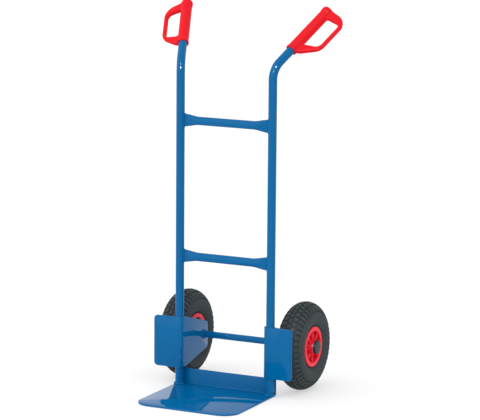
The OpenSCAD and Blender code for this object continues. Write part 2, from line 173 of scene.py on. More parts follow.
class Colours(bpy.types.PropertyGroup):
    blue: paint("Frame blue", "Powder coat of the frame", (0.0, 0.114, 0.300))
    red: paint("Grip red", "Moulded red of the grips", (0.74, 0.004, 0.013))
    rim_red: paint("Rim red", "Moulded red of the rims", (0.82, 0.008, 0.034))
    rubber: paint("Rubber", "Grey of the tyre rubber", (0.027, 0.037, 0.041))
    cap: paint("Hub cap", "Grey of the hub caps", (0.020, 0.029, 0.032))


class StudioSettings(bpy.types.PropertyGroup):
    lens: FloatProperty(
        name="Lens", description="Focal length of the camera", default=197.06, unit="CAMERA")
    azimuth: degrees("Azimuth", "Turn of the camera to the right of the load side", 26.360)
    elevation: degrees("Elevation", "Angle of the camera above the horizon", 10.101)
    roll: degrees("Roll", "Turn of the camera about its own axis", 0.464)
    distance: metres("Distance", "Distance of the camera from its target", 7.55167)
    target: FloatVectorProperty(
        name="Target", description="Point that the camera looks at",
        default=(0.046613, 0.0, 0.543126), subtype="TRANSLATION", size=3)
    shift: FloatProperty(
        name="Shift", description="Upward shift of the lens", default=-0.00225)
    floor: metres("Floor", "Half the floor's width", 60.0)
    floor_gap: metres("Floor gap", "How far the floor lies below the truck", 0.0004)
    key: FloatProperty(
        name="Key light", description="Strength of the soft key light", default=0.85)
    spark: FloatProperty(
        name="Spark lights", description="Strength of each small bare light", default=4.2)
    sky: FloatProperty(
        name="Sky", description="Strength of the light from all around", default=1.06)


SIZE_GROUPS = {
    "tubes": TubeSizes,
    "sheets": SheetSizes,
    "welds": WeldSizes,
    "grips": GripSizes,
    "wheels": WheelSizes,
    "colours": Colours,
    "studio": StudioSettings,
}


class TruckSettings(bpy.types.PropertyGroup):
    """All sizes and colours of the truck."""


for label, group in SIZE_GROUPS.items():
    TruckSettings.__annotations__[label] = PointerProperty(type=group)


# --------------------------------------------------------------- finishes
class Signal:
    """One output of a shader, so that shader maths is written as an expression."""

    def __init__(self, finish, socket):
        self.finish = finish
        self.socket = socket

    def _maths(self, operation, first, second):
        return self.finish.node("ShaderNodeMath", {"operation": operation}, {0: first, 1: second})

    def __add__(self, other):
        return self._maths("ADD", self, other)

    def __radd__(self, other):
        return self._maths("ADD", other, self)

    def __sub__(self, other):
        return self._maths("SUBTRACT", self, other)

    def __mul__(self, other):
        return self._maths("MULTIPLY", self, other)

    def __rmul__(self, other):
        return self._maths("MULTIPLY", other, self)


class Finish:
    """A material under construction."""

    def __init__(self, name):
        self.material = bpy.data.materials.new(f"{name}_finish")
        self.material.use_nodes = True
        self.tree = self.material.node_tree
        self.shader = self.tree.nodes["Principled BSDF"]
        self.place = self.node("ShaderNodeTexCoord", {}, {}, "Object")

    def _put(self, socket, value):
        if isinstance(value, Signal):
            self.tree.links.new(value.socket, socket)
        elif socket.type == "RGBA" and len(value) == 3:
            socket.default_value = (*value, 1.0)
        else:
            socket.default_value = value

    def node(self, kind, settings, inputs, output=0):
        """Adds a node, gives it its settings and then its sockets, and returns one output."""
        made = self.tree.nodes.new(kind)
        for key, value in settings.items():
            if key == "stops":
                ramp = made.color_ramp
                while len(ramp.elements) < len(value):
                    ramp.elements.new(0.5)
                for element, (at, level) in zip(ramp.elements, value):
                    element.position = at
                    element.color = (level, level, level, 1.0)
            else:
                setattr(made, key, value)
        for key, value in inputs.items():
            self._put(made.inputs[key], value)
        return Signal(self, made.outputs[output])

    def noise(self, scale, detail=2.0, roughness=0.5):
        return self.node("ShaderNodeTexNoise", {},
                         {"Vector": self.place, "Scale": scale, "Detail": detail,
                          "Roughness": roughness})

    def cells(self, scale, feature="F1"):
        return self.node("ShaderNodeTexVoronoi", {"feature": feature},
                         {"Vector": self.place, "Scale": scale}, "Distance")

    def ramp(self, signal, *stops):
        return self.node("ShaderNodeValToRGB", {"stops": stops}, {"Fac": signal})

    def colour(self, amount, first, second):
        return self.node("ShaderNodeMix", {"data_type": "RGBA"},
                         {0: amount, 6: first, 7: second}, 2)

    def bump(self, height, distance, strength=1.0, under=None):
        sockets = {"Height": height, "Distance": distance, "Strength": strength}
        if under is not None:
            sockets["Normal"] = under
        return self.node("ShaderNodeBump", {}, sockets)

    def surface(self, **sockets):
        """Sets the shader's sockets and gives back the finished material."""
        for key, value in sockets.items():
            self._put(self.shader.inputs[key.replace("_", " ")], value)
        return self.material


def shade(colour, factor):
    return tuple(min(1.0, c * factor) for c in colour)


def powder_coat(blue):
    """Glossy powder coat: a faint orange peel, slow drifts in gloss and a few dust nibs."""
    f = Finish("blue_powder_coat")
    drift = f.noise(7.0, 3.0)
    peel = f.noise(260.0, 2.0)
    fine = f.noise(900.0, 1.0)
    nibs = f.ramp(f.cells(120.0), (0.0, 1.0), (0.06, 0.0))
    tone = f.colour(drift, shade(blue, 0.93), shade(blue, 1.07))
    waves = f.bump(peel + 0.3 * fine, 0.00004, 0.4)
    return f.surface(
        Base_Color=tone,
        Roughness=0.03 + 0.03 * drift,
        Specular_IOR_Level=0.12,
        Normal=f.bump(nibs, 0.00006, 0.5, waves),
    )


def grip_plastic(red):
    """Soft moulded plastic with a fine leather-like grain."""
    f = Finish("grip_red")
    grain = f.cells(850.0)
    pores = f.noise(1600.0, 2.0)
    drift = f.noise(14.0, 3.0)
    tone = f.colour(drift, shade(red, 0.90), shade(red, 1.08))
    tone = f.colour(0.18 * f.ramp(grain, (0.2, 0.0), (0.8, 1.0)), tone, shade(red, 0.75))
    return f.surface(
        Base_Color=tone,
        Roughness=0.46 + 0.14 * pores,
        Specular_IOR_Level=0.09,
        Normal=f.bump(grain + 0.4 * pores, 0.00022, 0.6),
    )


def rim_plastic(red):
    """Half-gloss injection-moulded plastic with faint flow marks."""
    f = Finish("rim_red")
    flow = f.noise(22.0, 4.0, 0.6)
    skin = f.noise(700.0, 2.0)
    tone = f.colour(flow, shade(red, 0.90), shade(red, 1.10))
    return f.surface(
        Base_Color=tone,
        Roughness=0.28 + 0.16 * flow,
        Specular_IOR_Level=0.20,
        Normal=f.bump(skin + flow, 0.0001, 0.4),
    )


def rubber(grey):
    """Tyre rubber: dull, a little dusty, with a fine moulded skin."""
    f = Finish("tyre_rubber")
    dust = f.ramp(f.noise(26.0, 5.0, 0.62), (0.35, 0.0), (0.75, 1.0))
    skin = f.noise(1100.0, 3.0)
    blotch = f.noise(9.0, 2.0)
    tone = f.colour(dust, grey, shade(grey, 1.45))
    tone = f.colour(0.35 * blotch, tone, shade(grey, 0.7))
    return f.surface(
        Base_Color=tone,
        Roughness=0.62 + 0.18 * dust,
        Specular_IOR_Level=0.18,
        Normal=f.bump(skin, 0.00025, 0.6),
    )


def tube_rubber():
    """Butyl rubber of the inner tubes, with a talc bloom."""
    f = Finish("tube_rubber")
    talc = f.noise(60.0, 4.0)
    tone = f.colour(talc, (0.012, 0.012, 0.013), (0.05, 0.05, 0.05))
    return f.surface(Base_Color=tone, Roughness=0.55 + 0.2 * talc,
                     Normal=f.bump(talc, 0.0002, 0.3))


def cap_plastic(grey):
    """Dull grey plastic of the hub caps."""
    f = Finish("cap_grey")
    grain = f.noise(1300.0, 2.0)
    drift = f.noise(40.0, 3.0)
    tone = f.colour(drift, shade(grey, 0.85), shade(grey, 1.2))
    return f.surface(Base_Color=tone, Roughness=0.36 + 0.16 * grain, Specular_IOR_Level=0.22,
                     Normal=f.bump(grain, 0.00015, 0.5))


def zinc(name="zinc_steel", shine=0.28):
    """Bright zinc plating with a faint spangle and drawing marks."""
    f = Finish(name)
    spangle = f.cells(170.0)
    haze = f.noise(80.0, 4.0)
    tone = f.colour(haze, (0.52, 0.54, 0.56), (0.78, 0.79, 0.80))
    return f.surface(Base_Color=tone, Metallic=0.95, Roughness=shine + 0.18 * haze,
                     Normal=f.bump(spangle, 0.00008, 0.4))


def cage_plastic():
    """Cream nylon of the roller cages."""
    f = Finish("cage_plastic")
    mottle = f.noise(120.0, 3.0)
    tone = f.colour(mottle, (0.60, 0.50, 0.31), (0.74, 0.65, 0.45))
    return f.surface(Base_Color=tone, Roughness=0.45 + 0.1 * mottle,
                     Normal=f.bump(mottle, 0.0001, 0.3))


def brass():
    """Turned brass of the valve stems."""
    f = Finish("brass")
    turning = f.node("ShaderNodeTexWave", {"bands_direction": "X"},
                     {"Vector": f.place, "Scale": 900.0, "Distortion": 0.4})
    stain = f.noise(140.0, 3.0)
    tone = f.colour(stain, (0.58, 0.36, 0.11), (0.80, 0.58, 0.25))
    return f.surface(Base_Color=tone, Metallic=1.0, Roughness=0.24 + 0.2 * stain,
                     Normal=f.bump(turning, 0.00005, 0.4))


def black_plastic():
    """Black plastic of the valve caps, ribbed for the fingers."""
    f = Finish("black_plastic")
    haze = f.noise(300.0, 3.0)
    tone = f.colour(haze, (0.010, 0.010, 0.011), (0.030, 0.030, 0.032))
    return f.surface(Base_Color=tone, Roughness=0.35 + 0.2 * haze,
                     Normal=f.bump(haze, 0.0001, 0.4))


def studio_floor():
    """White studio floor, partly lit from below so that shadows stay faint."""
    f = Finish("studio_floor")
    drift = f.noise(0.6, 2.0)
    tone = f.colour(drift, (0.44, 0.44, 0.443), (0.46, 0.46, 0.463))
    return f.surface(Base_Color=tone, Roughness=0.85, Specular_IOR_Level=0.1,
                     Emission_Color=(1.0, 1.0, 1.0), Emission_Strength=0.5)


MAKERS = {
    "blue_powder_coat": lambda c: powder_coat(c.blue),
    "grip_red": lambda c: grip_plastic(c.red),
    "rim_red": lambda c: rim_plastic(c.rim_red),
    "tyre_rubber": lambda c: rubber(c.rubber),
    "tube_rubber": lambda c: tube_rubber(),
    "cap_grey": lambda c: cap_plastic(c.cap),
    "zinc_steel": lambda c: zinc(),
    "bearing_steel": lambda c: zinc("bearing_steel", 0.12),
    "cage_plastic": lambda c: cage_plastic(),
    "brass": lambda c: brass(),
    "black_plastic": lambda c: black_plastic(),
    "studio_floor": lambda c: studio_floor(),
}


def finish_of(slot):
    """The material of a slot, made the first time it is asked for."""
    return bpy.data.materials.get(f"{slot}_finish") or MAKERS[slot](settings().colours)


def settings():
    return bpy.context.scene.sack_truck


# ---------------------------------------------------------------- shaping
def settle(bm, name, body, slot, nodes=(), crease=38.0):
    """Closes a mesh, smooths it up to the crease angle and puts it on its body."""
    bmesh.ops.remove_doubles(bm, verts=bm.verts[:], dist=2 * SNAP)
    bmesh.ops.recalc_face_normals(bm, faces=bm.faces[:])
    for face in bm.faces:
        face.smooth = True
    for edge in bm.edges:
        if len(edge.link_faces) == 2:
            edge.smooth = edge.calc_face_angle(0.0) < math.radians(crease)
    mesh = bpy.data.meshes.new(name)
    bm.to_mesh(mesh)
    bm.free()
    piece = bpy.data.objects.new(name, mesh)
    bpy.context.scene.collection.objects.link(piece)
    mesh.materials.append(finish_of(slot))
    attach(piece, body)
    if nodes:
        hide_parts(*nodes)
    return piece


def to_side(bm, side):
    """Mirrors a piece that was built for the right side."""
    if side == "left":
        bmesh.ops.scale(bm, vec=(-1, 1, 1), verts=bm.verts[:])


def move(bm, geom, vec):
    bmesh.ops.translate(bm, vec=vec, verts=[g for g in geom if isinstance(g, bmesh.types.BMVert)])


def pull(bm, edges, vec=(0, 0, 0)):
    """Extrudes an open edge chain or loop and returns the new edges and vertices."""
    grown = bmesh.ops.extrude_edge_only(bm, edges=edges)["geom"]
    move(bm, grown, vec)
    new_edges = [g for g in grown if isinstance(g, bmesh.types.BMEdge)]
    new_verts = [g for g in grown if isinstance(g, bmesh.types.BMVert)]
    return [e for e in new_edges if all(v in new_verts for v in e.verts)], new_verts


def close_ends(bm):
    bmesh.ops.holes_fill(bm, edges=[e for e in bm.edges if e.is_boundary], sides=0)


def round_corners(bm, corners, segments=8):
    """Rounds the corners of a flat face, given as (vertex, radius)."""
    for vert, radius in corners:
        bmesh.ops.bevel(bm, geom=[vert], offset=radius, offset_type="OFFSET", segments=segments,
                        profile=0.5, affect="VERTICES", material=-1, clamp_overlap=True)


def round_edges(bm, radius, segments=2, angle=40.0):
    """Rounds every edge that is sharper than the angle."""
    sharp = [e for e in bm.edges
             if len(e.link_faces) == 2 and e.calc_face_angle(0.0) > math.radians(angle)]
    bmesh.ops.bevel(bm, geom=sharp, offset=radius, offset_type="OFFSET", segments=segments,
                    profile=0.5, affect="EDGES", material=-1, clamp_overlap=True)


def outline(bm, corners, segments=8):
    """A flat face in the XY plane from corners given as (x, y, rounding)."""
    verts = [(bm.verts.new((x, y, 0)), rounding) for x, y, rounding in corners]
    bm.faces.new([vert for vert, _ in verts])
    round_corners(bm, [(vert, rounding) for vert, rounding in verts if rounding], segments)


def turned(corners, steps, segments=4):
    """A ring turned about X from a section given as (x, radius, rounding) corners."""
    bm = bmesh.new()
    outline(bm, corners, segments)
    bmesh.ops.delete(bm, geom=bm.faces[:], context="FACES_ONLY")
    bmesh.ops.spin(bm, geom=bm.verts[:] + bm.edges[:], cent=(0, 0, 0), axis=(1, 0, 0),
                   angle=2 * math.pi, steps=steps, use_merge=True)
    bmesh.ops.remove_doubles(bm, verts=bm.verts[:], dist=SNAP)
    return bm


def joined(target, part, matrix=Matrix.Identity(4)):
    """Adds the shape of part to target."""
    bmesh.ops.transform(part, matrix=matrix, verts=part.verts[:])
    bmesh.ops.recalc_face_normals(part, faces=part.faces[:])
    mesh = bpy.data.meshes.new("part")
    part.to_mesh(mesh)
    part.free()
    target.from_mesh(mesh)
    bpy.data.meshes.remove(mesh)


def sheet_wall(bm, thickness, rounding):
    """Gives a sheet its thickness, against its normals, and rounds its cut edges."""
    bmesh.ops.recalc_face_normals(bm, faces=bm.faces[:])
    bmesh.ops.solidify(bm, geom=bm.faces[:], thickness=thickness)
    bmesh.ops.recalc_face_normals(bm, faces=bm.faces[:])
    round_edges(bm, rounding, angle=60.0)


def handle_frame(t):
    """Puts +Z along the right handle, with the origin where its straight stretch begins."""
    start = Vector((0, t.bend_radius * (1 - math.cos(t.lean)),
                    t.bend_start + t.bend_radius * math.sin(t.lean)))
    return (Matrix.Translation((UPRIGHT_X, 0, 0)) @ Matrix.Rotation(-t.flare, 4, "Z")
            @ Matrix.Translation(start) @ Matrix.Rotation(-t.lean, 4, "X"))


# ----------------------------------------------------------------- pieces
class TRUCK_OT_uprights(bpy.types.Operator):
    """Bend the two uprights from round tube"""
    bl_idname = "truck.uprights"
    bl_label = "Uprights"

    def execute(self, context):
        t = settings().tubes
        for side in SIDES:
            bm = bmesh.new()
            foot = UPRIGHT[0].z
            made = bmesh.ops.create_circle(bm, cap_ends=False, segments=t.sides, radius=TUBE_R)
            move(bm, made["verts"], (0, 0, foot))
            edges, verts = pull(bm, bm.edges[:], (0, 0, t.bend_start - foot))
            spun = bmesh.ops.spin(bm, geom=edges + verts, cent=(0, t.bend_radius, t.bend_start),
                                  axis=(1, 0, 0), angle=-t.lean, steps=20)["geom_last"]
            last = [g for g in spun if isinstance(g, bmesh.types.BMEdge)]
            along = Vector((0, math.sin(t.lean), math.cos(t.lean)))
            inside = settings().grips.length - settings().grips.end_wall
            pull(bm, last, along * (t.reach + inside))
            close_ends(bm)
            bmesh.ops.rotate(bm, cent=(0, 0, 0), matrix=Matrix.Rotation(-t.flare, 3, "Z"),
                             verts=bm.verts[:])
            move(bm, bm.verts[:], (UPRIGHT_X, 0, 0))
            to_side(bm, side)
            settle(bm, f"{side}_upright_tube", "frame", "blue_powder_coat", [f"{side}_upright"])
        return {"FINISHED"}


class TRUCK_OT_crossbars(bpy.types.Operator):
    """Draw the two crossbars from round tube and flatten their ends"""
    bl_idname = "truck.crossbars"
    bl_label = "Crossbars"

    def execute(self, context):
        t = settings().tubes
        for place in ("upper", "lower"):
            low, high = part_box(f"{place}_crossbar")
            end_x = high.x
            bm = bmesh.new()
            made = bmesh.ops.create_circle(bm, cap_ends=False, segments=t.sides, radius=1.0)
            ring = made["verts"]
            bmesh.ops.rotate(bm, cent=(0, 0, 0), matrix=Matrix.Rotation(math.pi / 2, 3, "Y"),
                             verts=ring)
            edges = bm.edges[:]
            steps = 16
            stations = [-end_x + t.bar_flare * i / steps for i in range(steps + 1)]
            stations += [-x for x in reversed(stations)]
            half_t = half_h = 1.0
            at = 0.0
            for i, x in enumerate(stations):
                if i:
                    edges, ring = pull(bm, edges)
                d = min(1.0, (end_x - abs(x)) / t.bar_flare)
                flat = 1 - d * d * (3 - 2 * d)
                new_t = TUBE_R + (t.bar_end_thickness / 2 - TUBE_R) * flat
                new_h = TUBE_R + (t.bar_end_height / 2 - TUBE_R) * flat
                bmesh.ops.scale(bm, vec=(1, new_t / half_t, new_h / half_h), verts=ring)
                move(bm, ring, (x - at, 0, 0))
                half_t, half_h, at = new_t, new_h, x
            close_ends(bm)
            move(bm, bm.verts[:], (0, 0, (low.z + high.z) / 2))
            settle(bm, f"{place}_crossbar_tube", "frame", "blue_powder_coat",
                   [f"{place}_crossbar"])
        return {"FINISHED"}


class TRUCK_OT_toe_plate(bpy.types.Operator):
    """Cut the toe plate with its round corners and fold up its flange"""
    bl_idname = "truck.toe_plate"
    bl_label = "Toe plate"

    def execute(self, context):
        s = settings().sheets
        half = TOE[1].x
        out_r = s.toe_bend + s.toe_thickness
        bend_y = TOE[1].y - out_r
        bm = bmesh.new()
        outline(bm, [(-half, bend_y, 0), (-half, TOE[0].y, s.toe_corner),
                     (half, TOE[0].y, s.toe_corner), (half, bend_y, 0)], 20)
        rear = [e for e in bm.edges if all(abs(v.co.y - bend_y) < SNAP for v in e.verts)]
        spun = bmesh.ops.spin(bm, geom=rear + list({v for e in rear for v in e.verts}),
                              cent=(0, bend_y, out_r), axis=(1, 0, 0), angle=math.pi / 2,
                              steps=8)["geom_last"]
        last = [g for g in spun if isinstance(g, bmesh.types.BMEdge)]
        pull(bm, last, (0, 0, TOE[1].z - out_r))
        bmesh.ops.remove_doubles(bm, verts=bm.verts[:], dist=SNAP)
        sheet_wall(bm, s.toe_thickness, s.edge_round)
        settle(bm, "toe_plate_sheet", "frame", "blue_powder_coat", ["toe_plate"])
        return {"FINISHED"}


class TRUCK_OT_brackets(bpy.types.Operator):
    """Cut and fold the two wheel brackets with their guards"""
    bl_idname = "truck.brackets"
    bl_label = "Wheel brackets"

    def execute(self, context):
        s = settings().sheets
        low, high = BRACKET
        out_r = s.bracket_bend + s.bracket_thickness
        for side in SIDES:
            bm = bmesh.new()
            outline(bm, [(low.x + out_r, low.z, 0), (high.x, low.z, s.guard_corner),
                         (high.x, high.z, s.guard_corner), (low.x + out_r, high.z, 0)], 10)
            bmesh.ops.rotate(bm, cent=(0, 0, 0), matrix=Matrix.Rotation(math.pi / 2, 3, "X"),
                             verts=bm.verts[:])
            move(bm, bm.verts[:], (0, low.y, 0))
            fold = [e for e in bm.edges
                    if all(abs(v.co.x - low.x - out_r) < SNAP for v in e.verts)]
            spun = bmesh.ops.spin(bm, geom=fold + list({v for e in fold for v in e.verts}),
                                  cent=(low.x + out_r, low.y + out_r, 0), axis=(0, 0, 1),
                                  angle=-math.pi / 2, steps=8)["geom_last"]
            last = [g for g in spun if isinstance(g, bmesh.types.BMEdge)]
            last, _ = pull(bm, last, (0, s.knee - low.y - out_r, 0))
            last, rear = pull(bm, last, (0, high.y - s.knee, 0))
            for vert in rear:
                upper = vert.co.z > (low.z + high.z) / 2
                vert.co.z += -s.top_drop if upper else s.bottom_rise
            round_corners(bm, [(v, s.rear_corner) for v in rear], 8)
            bmesh.ops.remove_doubles(bm, verts=bm.verts[:], dist=SNAP)
            sheet_wall(bm, s.bracket_thickness, 0.6 * s.edge_round)
            to_side(bm, side)
            settle(bm, f"{side}_bracket_sheet", "frame", "blue_powder_coat",
                   [f"{side}_wheel_bracket"])
        return {"FINISHED"}


class TRUCK_OT_axle(bpy.types.Operator):
    """Turn the axle with a small chamfer at each end"""
    bl_idname = "truck.axle"
    bl_label = "Axle"

    def execute(self, context):
        end = AXLE[1].x
        chamfer = 0.0012
        bm = turned([(-end, 0, 0), (-end, AXLE_R, chamfer), (end, AXLE_R, chamfer), (end, 0, 0)],
                    48, 2)
        move(bm, bm.verts[:], (0, AXLE_Y, AXLE_Z))
        settle(bm, "axle_rod", "frame", "blue_powder_coat", ["axle"])
        return {"FINISHED"}


class TRUCK_OT_welds(bpy.types.Operator):
    """Lay the weld beads that hold the frame together"""
    bl_idname = "truck.welds"
    bl_label = "Weld seams"

    def lay(self, bm, path, closed=False, size=1.0):
        """A rippled bead along a path: one flattened drop for each ripple."""
        w = settings().welds
        stops = path + path[:1] if closed else path
        for start, end in zip(stops, stops[1:]):
            span = (end - start).length
            count = max(1, round(span / w.step))
            for i in range(count):
                at = start.lerp(end, i / count)
                turn = (end - start).to_track_quat("Z", "Y").to_matrix().to_4x4()
                drop = Matrix.Translation(at) @ turn @ Matrix.Diagonal(
                    (size * w.bead, size * w.bead, size * w.bead * 1.15, 1.0))
                bmesh.ops.create_uvsphere(bm, u_segments=8, v_segments=6, radius=1.0, matrix=drop)

    def circle(self, centre, axis, radius, first=0.0, last=360.0, steps=24):
        """Points on a circle about an axis through its centre."""
        turn = Vector(axis).to_track_quat("Z", "Y").to_matrix()
        span = math.radians(last - first)
        return [Vector(centre) + turn @ Vector((radius * math.cos(a), radius * math.sin(a), 0))
                for a in (math.radians(first) + span * i / steps for i in range(steps + 1))]

    def execute(self, context):
        w = settings().welds
        s = settings().sheets
        t = settings().tubes
        for side in SIDES:
            bm = bmesh.new()
            # Foot of the upright on the toe plate
            self.lay(bm, self.circle((UPRIGHT_X, 0, s.toe_thickness + w.bead * 0.6), (0, 0, 1),
                                     TUBE_R + w.bead * 0.35, steps=36), size=1.35)
            # Flattened ends of the crossbars on the upright
            for place in ("upper", "lower"):
                low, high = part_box(f"{place}_crossbar")
                mid = (low.z + high.z) / 2
                tall = t.bar_end_height / 2 - t.bar_end_thickness / 2
                half = t.bar_end_thickness / 2 + w.bead * 0.25
                x = high.x - w.bead * 0.1
                loop = [Vector((x, -half, mid - tall)), Vector((x, -half, mid + tall)),
                        Vector((x, 0, mid + tall + half)), Vector((x, half, mid + tall)),
                        Vector((x, half, mid - tall)), Vector((x, 0, mid - tall - half))]
                self.lay(bm, loop, closed=True, size=0.85)
            # Axle in the bracket's side plate
            self.lay(bm, self.circle((BRACKET[0].x - w.bead * 0.2, AXLE_Y, AXLE_Z), (1, 0, 0),
                                     AXLE_R + w.bead * 0.35, steps=30), size=1.25)
            # Upper and lower edges of the guard around the upright
            wing = 0.009
            for z in (BRACKET[1].z - w.bead * 0.2, BRACKET[0].z + w.bead * 0.2):
                self.lay(bm, [Vector((UPRIGHT_X - wing, -TUBE_R + wing / 3, z)),
                              Vector((UPRIGHT_X - 0.002, -TUBE_R - 0.0005, z)),
                              Vector((UPRIGHT_X + wing, -TUBE_R + wing / 3, z))], size=1.25)
            # Stitches between the upright and the side plate
            side_x = BRACKET[0].x + s.bracket_thickness + w.bead * 0.2
            for z in (0.070, 0.120, 0.170):
                self.lay(bm, [Vector((side_x, w.beside, z)),
                              Vector((side_x, w.beside, z + w.stitch))])
            # Flange of the toe plate on the upright
            for off in (-w.beside, w.beside):
                self.lay(bm, [Vector((UPRIGHT_X + off, TUBE_R - 0.002, 0.014)),
                              Vector((UPRIGHT_X + off, TUBE_R - 0.002, TOE[1].z - 0.004))],
                         size=0.9)
            to_side(bm, side)
            settle(bm, f"{side}_weld_seams", "frame", "blue_powder_coat", crease=80.0)
        return {"FINISHED"}


class TRUCK_OT_grips(bpy.types.Operator):
    """Mould the two safety grips with their hand guards"""
    bl_idname = "truck.grips"
    bl_label = "Safety grips"

    def disc_hull(self, discs, thickness):
        """A flat body around discs given as (reach, place along the grip, radius)."""
        bm = bmesh.new()
        for x, y, radius in discs:
            bmesh.ops.create_cone(bm, cap_ends=True, segments=64, radius1=radius, radius2=radius,
                                  depth=thickness, matrix=Matrix.Translation((x, y, 0)))
        hull = bmesh.ops.convex_hull(bm, input=bm.verts[:], use_existing_faces=False)
        spare = {g for g in hull["geom_interior"] + hull["geom_unused"]
                 if isinstance(g, bmesh.types.BMVert)}
        bmesh.ops.delete(bm, geom=list(spare), context="VERTS")
        bmesh.ops.dissolve_limit(bm, angle_limit=0.01, verts=bm.verts[:], edges=bm.edges[:])
        bmesh.ops.recalc_face_normals(bm, faces=bm.faces[:])
        mesh = bpy.data.meshes.new("hull")
        bm.to_mesh(mesh)
        bm.free()
        body = bpy.data.objects.new("hull", mesh)
        bpy.context.scene.collection.objects.link(body)
        return body

    def guard(self, g):
        """The D-shaped hand guard: reach along X, length along Z, thickness along Y."""
        root, top, side, foot = 0.014, 0.036, 0.040, 0.020
        root_in, top_gap, side_at, foot_at = 0.004, 0.0055, 0.0645, 0.004
        body = self.disc_hull([
            (root_in, g.length - root, root),
            (g.reach - top, g.length - top_gap - top, top),
            (g.reach - side, side_at, side),
            (g.radius, foot_at + foot, foot)], g.thickness)
        small, top, bottom = 0.004, 0.014, 0.020
        gap, end_gap, bottom_at, start = 0.0005, 0.031, 0.064, 0.040
        inner = g.radius + gap + small
        outer = g.reach - g.bar
        end = g.length - end_gap
        window = self.disc_hull([
            (inner, end - small, small), (outer - top, end - top, top),
            (outer - bottom, bottom_at, bottom), (inner, start, small)], 2 * g.thickness)
        cut = body.modifiers.new("window", "BOOLEAN")
        cut.object = window
        cut.operation = "DIFFERENCE"
        cut.solver = "EXACT"
        bm = bmesh.new()
        bm.from_object(body, bpy.context.evaluated_depsgraph_get())
        for spent in (body, window):
            mesh = spent.data
            bpy.data.objects.remove(spent)
            bpy.data.meshes.remove(mesh)
        round_edges(bm, g.rounding, 4, 50.0)
        bmesh.ops.rotate(bm, cent=(0, 0, 0), matrix=Matrix.Rotation(math.pi / 2, 3, "X"),
                         verts=bm.verts[:])
        return bm

    def sleeve(self, g):
        """The sleeve, closed at its end and open where the tube goes in."""
        bore = TUBE_R + PRESS_GAP
        lip = g.radius + g.lip
        end = g.length
        floor = end - g.end_wall
        rise = end - g.end_lip
        foot_slope, end_slope = 0.0025, 0.002
        return turned([
            (0, bore, 0.0005), (0, lip, 0.0012), (g.foot_lip, lip, 0.001),
            (g.foot_lip + foot_slope, g.radius, 0.001), (rise - end_slope, g.radius, 0.001),
            (rise, lip, 0.0008), (end, lip, g.end_round),
            (end, 0, 0), (floor, 0, 0), (floor, bore, 0)], 64, 5)

    def execute(self, context):
        g = settings().grips
        t = settings().tubes
        place = handle_frame(t) @ Matrix.Translation((0, 0, t.reach))
        for side in SIDES:
            bm = bmesh.new()
            joined(bm, self.sleeve(g), Matrix.Rotation(-math.pi / 2, 4, "Y"))
            joined(bm, self.guard(g), Matrix.Rotation(g.roll, 4, "Z"))
            block = bpy.data.meshes.new("grip_block")
            bm.to_mesh(block)
            bm.free()
            mould = bpy.data.objects.new("grip_mould", block)
            context.scene.collection.objects.link(mould)
            skin = mould.modifiers.new("skin", "REMESH")
            skin.mode = "VOXEL"
            skin.voxel_size = g.grain
            graph = context.evaluated_depsgraph_get()
            shaped = bpy.data.meshes.new_from_object(mould.evaluated_get(graph))
            bpy.data.objects.remove(mould)
            bpy.data.meshes.remove(block)
            bm = bmesh.new()
            bm.from_mesh(shaped)
            bpy.data.meshes.remove(shaped)
            for _ in range(6):
                bmesh.ops.smooth_vert(bm, verts=bm.verts[:], factor=0.5, use_axis_x=True,
                                      use_axis_y=True, use_axis_z=True)
            bmesh.ops.transform(bm, matrix=place, verts=bm.verts[:])
            to_side(bm, side)
            settle(bm, f"{side}_safety_grip", "frame", "grip_red", [f"{side}_grip"], crease=180.0)
        return {"FINISHED"}


class TRUCK_OT_rims(bpy.types.Operator):
    """Mould the two-part rims with their ribs, hubs and bolt bosses"""
    bl_idname = "truck.rims"
    bl_label = "Rims"

    def half(self, w):
        """One rim half, from the wheel's middle plane outwards along X."""
        hub = w.hub_bore + w.hub_wall
        barrel = w.seat_radius - w.rim_wall
        face = w.rim_half_width
        seat = face - w.rim_wall
        bm = turned([
            (0, w.hub_bore, 0), (HUB_END, w.hub_bore, 0.0006), (HUB_END, hub, 0.0012),
            (w.rim_wall, hub, 0.003), (w.rim_wall, barrel, 0.003), (face, barrel, 0.0012),
            (face, FLANGE_R, 0.0018), (seat, FLANGE_R, 0.0018), (seat, w.seat_radius, 0.001),
            (0, w.seat_radius, 0)], 96)
        top = face - w.rib_inset
        start, lap = 0.001, 0.0015
        for i in range(w.ribs):
            rib = bmesh.new()
            bmesh.ops.create_cube(rib, size=1.0)
            bmesh.ops.scale(rib, vec=(top - start, w.rib_thickness, barrel - hub + 2 * lap),
                            verts=rib.verts[:])
            move(rib, rib.verts[:], ((top + start) / 2, 0, (barrel + hub) / 2))
            round_edges(rib, 0.0008)
            joined(bm, rib, Matrix.Rotation(2 * math.pi * i / w.ribs, 4, "X"))
        for i in range(w.bosses):
            boss = turned([
                (0, w.bolt_bore, 0), (w.boss_height, w.bolt_bore, 0.0004),
                (w.boss_height, w.boss_radius, 0.0012), (0, w.boss_radius, 0)], 24, 3)
            turn = math.pi / w.ribs + 2 * math.pi * i / w.bosses
            joined(bm, boss, Matrix.Rotation(turn, 4, "X")
                   @ Matrix.Translation((0, 0, (hub + barrel) / 2)))
        return bm

    def execute(self, context):
        w = settings().wheels
        for side, sign in SIDES.items():
            for half, way in (("outer", 1), ("inner", -1)):
                bm = self.half(w)
                bmesh.ops.scale(bm, vec=(sign * way, 1, 1), verts=bm.verts[:])
                move(bm, bm.verts[:], (sign * WHEEL_X, AXLE_Y, AXLE_Z))
                settle(bm, f"{side}_{half}_rim", f"{side}_wheel", "rim_red",
                       [f"{side}_rim_{half}_half"])
        return {"FINISHED"}


